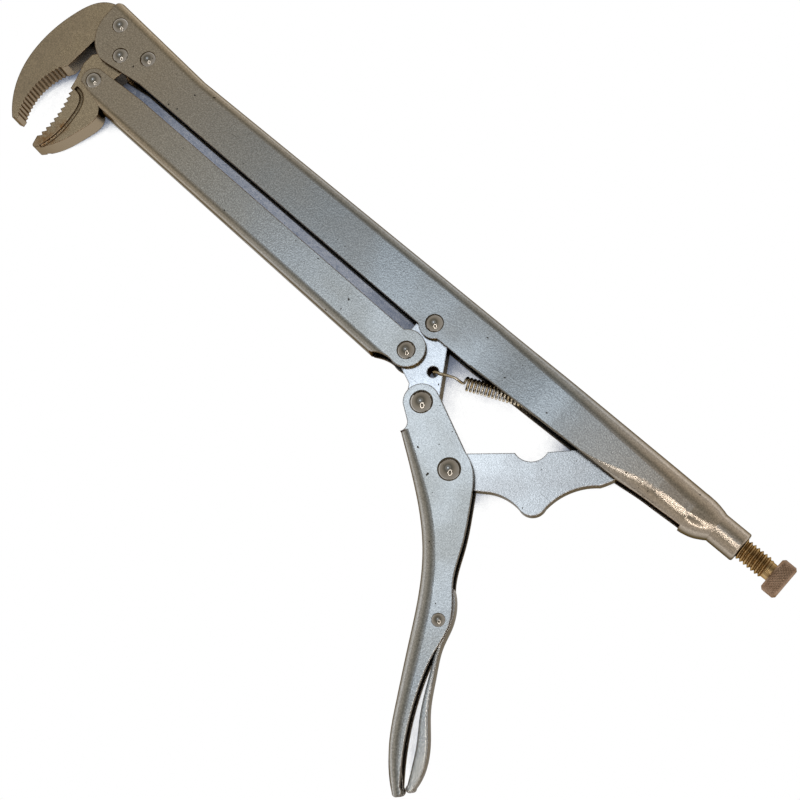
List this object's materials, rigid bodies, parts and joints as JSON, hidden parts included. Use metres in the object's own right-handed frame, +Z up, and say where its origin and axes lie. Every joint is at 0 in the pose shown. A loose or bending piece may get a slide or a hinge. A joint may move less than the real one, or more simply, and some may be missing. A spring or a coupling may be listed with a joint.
{
  "type": "locking pliers",
  "caption": "Long-reach locking pliers with hooked jaws across the end of a folded steel frame, a push bar, a toggle handle, a release lever and an adjusting screw.",
  "frame": {"origin": "middle of the footprint of the tool lying on its side with open jaws, on the surface it lies on", "axes": "+X along the back of the main frame from the jaws to the knob, +Y away from the lower handle, +Z up, square to the flat of the tool"},
  "size_m": [0.3816, 0.1662, 0.0188],
  "materials": {
    "satin_nickel": "satin nickel plate on blasted sheet steel",
    "forged_nickel": "satin nickel plate on forged and stamped steel",
    "polished_nickel": "bright plated domed rivet heads",
    "spring_steel": "drawn spring wire, oiled",
    "bronzed_steel": "brown-grey plated screw and knob"
  },
  "bodies": {
    "frame": {"main_frame": "satin_nickel", "upper_jaw": "forged_nickel", "upper_jaw_rivet_top": "polished_nickel", "upper_jaw_rivet_rear": "polished_nickel", "lower_jaw_pivot": "polished_nickel", "rocker_pivot": "polished_nickel", "return_spring": "spring_steel"},
    "rocker": {"rocker_plate": "forged_nickel"},
    "lower_jaw": {"lower_jaw": "forged_nickel"},
    "push_bar": {"push_bar": "satin_nickel", "push_bar_front_rivet": "polished_nickel", "push_bar_rear_rivet": "polished_nickel"},
    "lower_handle": {"lower_handle": "satin_nickel", "handle_pivot": "polished_nickel", "link_pivot": "polished_nickel", "release_lever_rivet": "polished_nickel"},
    "toggle_link": {"toggle_link": "forged_nickel"},
    "release_lever": {"release_lever": "satin_nickel"},
    "screw": {"adjusting_screw": "bronzed_steel"},
    "knob": {"knurled_knob": "bronzed_steel"}
  },
  "joints": [
    {"name": "rocker_swing", "type": "hinge", "parent": "frame", "child": "rocker", "pos_m": [0.02456, 0.06213, 0.0094], "axis": [0, 0, 1], "range_deg": [-15.1, 0], "deforming": ["return_spring"]},
    {"name": "lower_jaw_swing", "type": "hinge", "parent": "frame", "child": "lower_jaw", "pos_m": [-0.15694, 0.06463, 0.0094], "axis": [0, 0, 1], "range_deg": [-15.1, 0]},
    {"name": "push_bar_swing", "type": "hinge", "parent": "rocker", "child": "push_bar", "pos_m": [0.02316, 0.04683, 0.0094], "axis": [0, 0, 1], "range_deg": [0, 15.1]},
    {"name": "handle_squeeze", "type": "hinge", "parent": "rocker", "child": "lower_handle", "pos_m": [0.04166, 0.03513, 0.0094], "axis": [0, 0, 1], "range_deg": [0, 65.25], "stiffness_Nm_per_rad": 0.1},
    {"name": "link_swing", "type": "hinge", "parent": "lower_handle", "child": "toggle_link", "pos_m": [0.06766, 0.02223, 0.0094], "axis": [0, 0, 1], "range_deg": [-71.7, 0]},
    {"name": "release_press", "type": "hinge", "parent": "lower_handle", "child": "release_lever", "pos_m": [0.10276, -0.02357, 0.0094], "axis": [0, 0, -1], "range_deg": [0, 2.5]},
    {"name": "screw_travel", "type": "slide", "parent": "frame", "child": "screw", "axis": [1, 0, 0], "range_m": [0, 0.012]},
    {"name": "knob_turn", "type": "hinge", "parent": "screw", "child": "knob", "pos_m": [0.18746, 0.07143, 0.0094], "axis": [1, 0, 0], "range_deg": [0, 2520]}
  ],
  "couplings": [
    {"joint": "rocker_swing", "follows": "handle_squeeze", "ratio": -0.22989},
    {"joint": "lower_jaw_swing", "follows": "handle_squeeze", "ratio": -0.22989},
    {"joint": "push_bar_swing", "follows": "handle_squeeze", "ratio": 0.22989},
    {"joint": "link_swing", "follows": "handle_squeeze", "ratio": -1.0967},
    {"joint": "knob_turn", "follows": "screw_travel", "rad_per_m": 3653}
  ]
}
